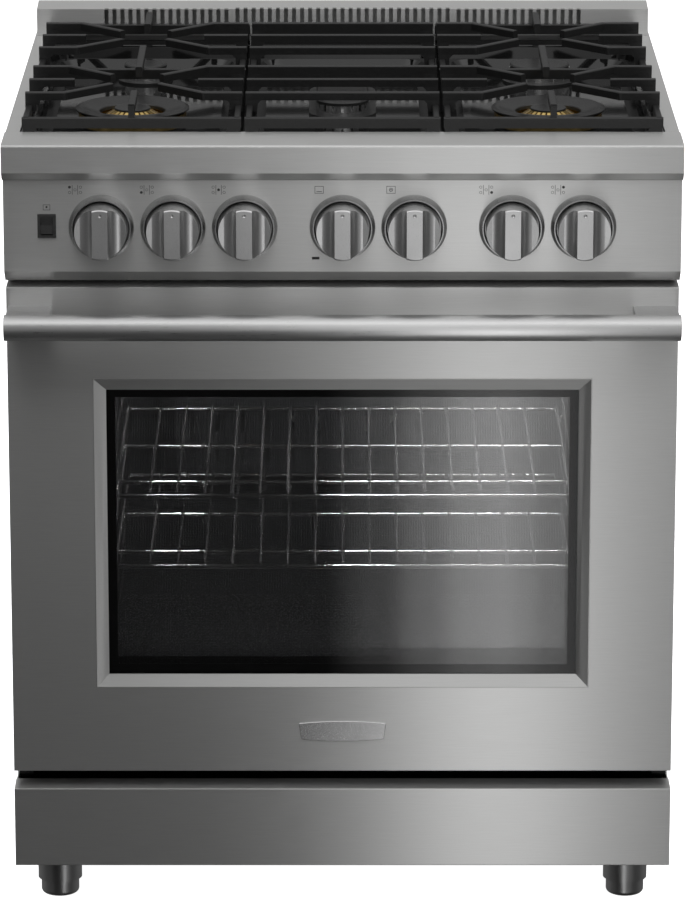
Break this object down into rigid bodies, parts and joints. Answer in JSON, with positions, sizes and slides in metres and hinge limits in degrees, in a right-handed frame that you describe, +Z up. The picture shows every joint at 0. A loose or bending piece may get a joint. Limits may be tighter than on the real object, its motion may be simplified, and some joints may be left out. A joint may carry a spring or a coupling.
{
  "type": "freestanding gas range",
  "caption": "Freestanding gas range: cooktop with cast grates and burners, push-and-turn knobs, and a windowed convection oven with a drop-down door on levelling feet.",
  "frame": {"origin": "on the floor, at the middle of the range's footprint with the handle included", "axes": "+Z up; -Y out of the front, towards the cook; +Y to the wall and the gas inlet; +X to the cook's right"},
  "size_m": [0.759, 0.759, 0.945],
  "materials": {
    "brushed_stainless": "horizontal brushed",
    "bezel_stainless": "fine blasted bevel with mitred corners",
    "handle_stainless": "satin brushed round",
    "knob_metal": "satin with bright edges",
    "ring_metal": "turned satin",
    "badge_metal": "satin plate, blank",
    "side_paint": "satin grey paint",
    "galvanised": "galvanised sheet",
    "dark_paint": "black paint",
    "black_enamel": "gloss vitreous enamel",
    "oven_enamel": "speckled dark vitreous enamel",
    "cast_iron": "matt black enamelled casting",
    "cap_enamel": "matt black enamel",
    "burner_metal": "machined brass and bright aluminium crowns",
    "ceramic_white": "glazed ceramic with steel tip",
    "rack_chrome": "chromed wire",
    "tube_steel": "heat tinted steel",
    "foot_metal": "turned steel",
    "window_glass": "clear tempered glass",
    "screen_glass": "tempered glass with a fine printed screen",
    "lamp_glass": "ribbed lamp lens and socket",
    "gasket_braid": "braided fibreglass",
    "blanket": "mineral wool blanket",
    "black_plastic": "gloss black",
    "gland_plastic": "matt black",
    "valve_alloy": "die cast",
    "zinc_steel": "zinc plated"
  },
  "bodies": {
    "door": {"door_outer_panel": "brushed_stainless", "window_bezel": "bezel_stainless", "outer_glass": "window_glass", "inner_glass": "screen_glass", "door_liner": "oven_enamel", "door_gasket": "gasket_braid", "handle_bar": "handle_stainless", "handle_brackets": "handle_stainless", "badge_plate": "badge_metal"},
    "rocker": {"rocker_button": "black_plastic"},
    "fan": {"fan_blade": "zinc_steel"},
    "stem_rear_left": {"stem_rear_left": "zinc_steel"},
    "knob_rear_left": {"knob_rear_left": "knob_metal"},
    "stem_front_left": {"stem_front_left": "zinc_steel"},
    "knob_front_left": {"knob_front_left": "knob_metal"},
    "stem_centre": {"stem_centre": "zinc_steel"},
    "knob_centre": {"knob_centre": "knob_metal"},
    "stem_front_right": {"stem_front_right": "zinc_steel"},
    "knob_front_right": {"knob_front_right": "knob_metal"},
    "stem_rear_right": {"stem_rear_right": "zinc_steel"},
    "knob_rear_right": {"knob_rear_right": "knob_metal"},
    "knob_oven": {"knob_oven": "knob_metal"},
    "knob_function": {"knob_function": "knob_metal"},
    "rack_upper": {"rack_upper": "rack_chrome"},
    "rack_lower": {"rack_lower": "rack_chrome"},
    "grate_left": {"grate_left": "cast_iron"},
    "grate_centre": {"grate_centre": "cast_iron"},
    "grate_right": {"grate_right": "cast_iron"},
    "cap_front_left": {"cap_front_left": "cap_enamel"},
    "cap_front_right": {"cap_front_right": "cap_enamel"},
    "cap_rear_left": {"cap_rear_left": "cap_enamel"},
    "cap_rear_right": {"cap_rear_right": "cap_enamel"},
    "cap_centre": {"cap_centre": "cap_enamel"},
    "root": {"side_panels": "side_paint", "back_panel": "galvanised", "base_frame": "dark_paint", "foot_sleeves": "foot_metal", "leveling_feet": "foot_metal", "kick_panel": "brushed_stainless", "front_frame": "black_enamel", "door_hinges": "zinc_steel", "oven_cavity": "oven_enamel", "oven_insulation": "blanket", "oven_burners": "tube_steel", "fan_baffle": "oven_enamel", "fan_motor": "zinc_steel", "rack_guides": "rack_chrome", "oven_lamp": "lamp_glass", "control_panel": "brushed_stainless", "knob_bezels": "ring_metal", "gas_valves": "valve_alloy", "gas_manifold": "galvanised", "power_inlet": "gland_plastic", "panel_inserts": "black_plastic", "front_trim": "brushed_stainless", "cooktop_frame": "brushed_stainless", "spill_pan": "black_enamel", "backguard": "brushed_stainless", "burner_heads": "burner_metal", "igniters": "ceramic_white"}
  },
  "joints": [
    {"name": "door_hinge", "type": "hinge", "parent": "root", "child": "door", "pos_m": [0, -0.2805, 0.185], "axis": [1, 0, 0], "range_deg": [0, 90], "stiffness_Nm_per_rad": 15, "springref_deg": -28.65},
    {"name": "rocker_tilt", "type": "hinge", "parent": "root", "child": "rocker", "pos_m": [-0.33, -0.3135, 0.814], "axis": [1, 0, 0], "range_deg": [0, 10]},
    {"name": "fan_spin", "type": "hinge", "parent": "root", "child": "fan", "pos_m": [0, 0.1995, 0.512], "axis": [0, 1, 0], "continuous": true},
    {"name": "turn_rear_left", "type": "hinge", "parent": "root", "child": "stem_rear_left", "pos_m": [-0.269, -0.3305, 0.8126], "axis": [0, -1, 0], "range_deg": [0, 240]},
    {"name": "push_rear_left", "type": "slide", "parent": "stem_rear_left", "child": "knob_rear_left", "axis": [0, 1, 0], "range_m": [0, 0.003], "stiffness_N_per_m": 900},
    {"name": "turn_front_left", "type": "hinge", "parent": "root", "child": "stem_front_left", "pos_m": [-0.189, -0.3305, 0.8126], "axis": [0, -1, 0], "range_deg": [0, 240]},
    {"name": "push_front_left", "type": "slide", "parent": "stem_front_left", "child": "knob_front_left", "axis": [0, 1, 0], "range_m": [0, 0.003], "stiffness_N_per_m": 900},
    {"name": "turn_centre", "type": "hinge", "parent": "root", "child": "stem_centre", "pos_m": [-0.109, -0.3305, 0.8126], "axis": [0, -1, 0], "range_deg": [0, 240]},
    {"name": "push_centre", "type": "slide", "parent": "stem_centre", "child": "knob_centre", "axis": [0, 1, 0], "range_m": [0, 0.003], "stiffness_N_per_m": 900},
    {"name": "turn_front_right", "type": "hinge", "parent": "root", "child": "stem_front_right", "pos_m": [0.189, -0.3305, 0.8126], "axis": [0, -1, 0], "range_deg": [0, 240]},
    {"name": "push_front_right", "type": "slide", "parent": "stem_front_right", "child": "knob_front_right", "axis": [0, 1, 0], "range_m": [0, 0.003], "stiffness_N_per_m": 900},
    {"name": "turn_rear_right", "type": "hinge", "parent": "root", "child": "stem_rear_right", "pos_m": [0.269, -0.3305, 0.8126], "axis": [0, -1, 0], "range_deg": [0, 240]},
    {"name": "push_rear_right", "type": "slide", "parent": "stem_rear_right", "child": "knob_rear_right", "axis": [0, 1, 0], "range_m": [0, 0.003], "stiffness_N_per_m": 900},
    {"name": "turn_oven", "type": "hinge", "parent": "root", "child": "knob_oven", "pos_m": [0, -0.3305, 0.8126], "axis": [0, -1, 0], "range_deg": [0, 270]},
    {"name": "turn_function", "type": "hinge", "parent": "root", "child": "knob_function", "pos_m": [0.08, -0.3305, 0.8126], "axis": [0, 1, 0], "range_deg": [0, 270]},
    {"name": "slide_rack_upper", "type": "slide", "parent": "root", "child": "rack_upper", "axis": [0, -1, 0], "range_m": [0, 0.012]},
    {"name": "slide_rack_lower", "type": "slide", "parent": "root", "child": "rack_lower", "axis": [0, -1, 0], "range_m": [0, 0.012]},
    {"name": "lift_grate_left", "type": "slide", "parent": "root", "child": "grate_left", "axis": [0, 0, 1], "range_m": [0, 0.08]},
    {"name": "lift_grate_centre", "type": "slide", "parent": "root", "child": "grate_centre", "axis": [0, 0, 1], "range_m": [0, 0.08]},
    {"name": "lift_grate_right", "type": "slide", "parent": "root", "child": "grate_right", "axis": [0, 0, 1], "range_m": [0, 0.08]},
    {"name": "lift_cap_front_left", "type": "slide", "parent": "root", "child": "cap_front_left", "axis": [0, 0, 1], "range_m": [0, 0.012]},
    {"name": "lift_cap_front_right", "type": "slide", "parent": "root", "child": "cap_front_right", "axis": [0, 0, 1], "range_m": [0, 0.012]},
    {"name": "lift_cap_rear_left", "type": "slide", "parent": "root", "child": "cap_rear_left", "axis": [0, 0, 1], "range_m": [0, 0.012]},
    {"name": "lift_cap_rear_right", "type": "slide", "parent": "root", "child": "cap_rear_right", "axis": [0, 0, 1], "range_m": [0, 0.012]},
    {"name": "lift_cap_centre", "type": "slide", "parent": "root", "child": "cap_centre", "axis": [0, 0, 1], "range_m": [0, 0.006]}
  ]
}
